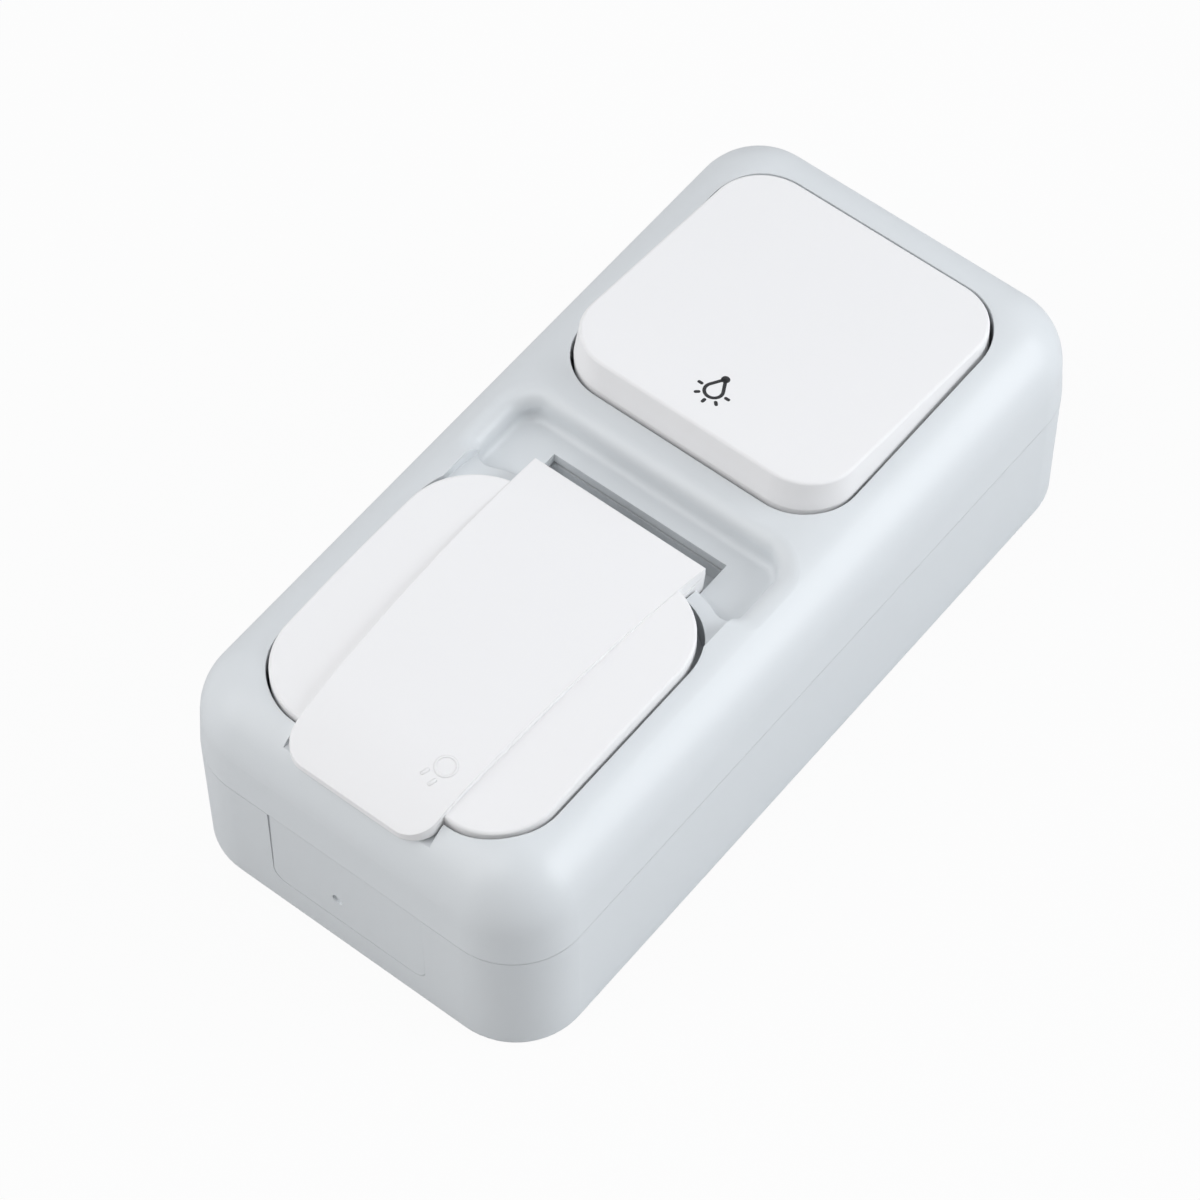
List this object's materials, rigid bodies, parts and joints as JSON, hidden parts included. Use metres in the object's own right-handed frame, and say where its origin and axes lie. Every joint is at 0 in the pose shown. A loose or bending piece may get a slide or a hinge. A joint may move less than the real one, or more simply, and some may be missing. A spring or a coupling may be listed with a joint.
{
  "type": "weatherproof switch and socket unit",
  "caption": "Long surface-mounted weatherproof box with a large tilting rocker switch at one end and an earthed socket under a sprung hinged lid at the other.",
  "frame": {"origin": "centre of the back face, on the wall plane", "axes": "+Z out of the wall, +Y along the unit from the socket towards the switch, +X across it"},
  "size_m": [0.074, 0.1516, 0.0519],
  "materials": {
    "housing": "satin moulded plastic",
    "front": "satin moulded plastic",
    "inner_white": "moulded plastic",
    "mechanism": "moulded plastic",
    "seal": "soft seal",
    "steel": "plated",
    "brass": "bright"
  },
  "bodies": {
    "housing": {"base_box": "housing", "front_cover": "housing", "cable_entry_insert": "housing", "box_gasket": "seal", "cover_screws": "steel", "common_terminal": "brass", "load_terminal": "brass", "switch_body": "mechanism", "switch_seal": "seal", "switch_terminal_screws": "steel", "switch_fixing_screws": "steel", "lid_hinge_pin": "steel", "lid_spring": "steel", "socket_insert": "inner_white", "socket_seal": "seal", "socket_body": "mechanism", "line_contact": "brass", "neutral_contact": "brass", "earth_bracket": "steel", "socket_terminal_screws": "steel", "socket_centre_screw": "steel", "socket_fixing_screws": "steel"},
    "rocker": {"rocker_cap": "front", "rocker_cradle": "mechanism", "plunger": "mechanism", "plunger_spring": "steel"},
    "contact": {"moving_contact": "brass"},
    "lid": {"lid_shell": "front", "lid_gasket": "seal"}
  },
  "joints": [
    {"name": "rocker_tilt", "type": "hinge", "parent": "housing", "child": "rocker", "pos_m": [0, 0.0374, 0.043], "axis": [1, 0, 0], "range_deg": [0, 13]},
    {"name": "contact_tilt", "type": "hinge", "parent": "housing", "child": "contact", "pos_m": [0, 0.0374, 0.022], "axis": [1, 0, 0], "range_deg": [-10, 0]},
    {"name": "lid_hinge", "type": "hinge", "parent": "housing", "child": "lid", "pos_m": [0, -0.0092, 0.0376], "axis": [-1, 0, 0], "range_deg": [0, 92], "stiffness_Nm_per_rad": 0.02, "springref_deg": -34.38}
  ],
  "couplings": [
    {"joint": "contact_tilt", "follows": "rocker_tilt", "ratio": -0.76923}
  ]
}
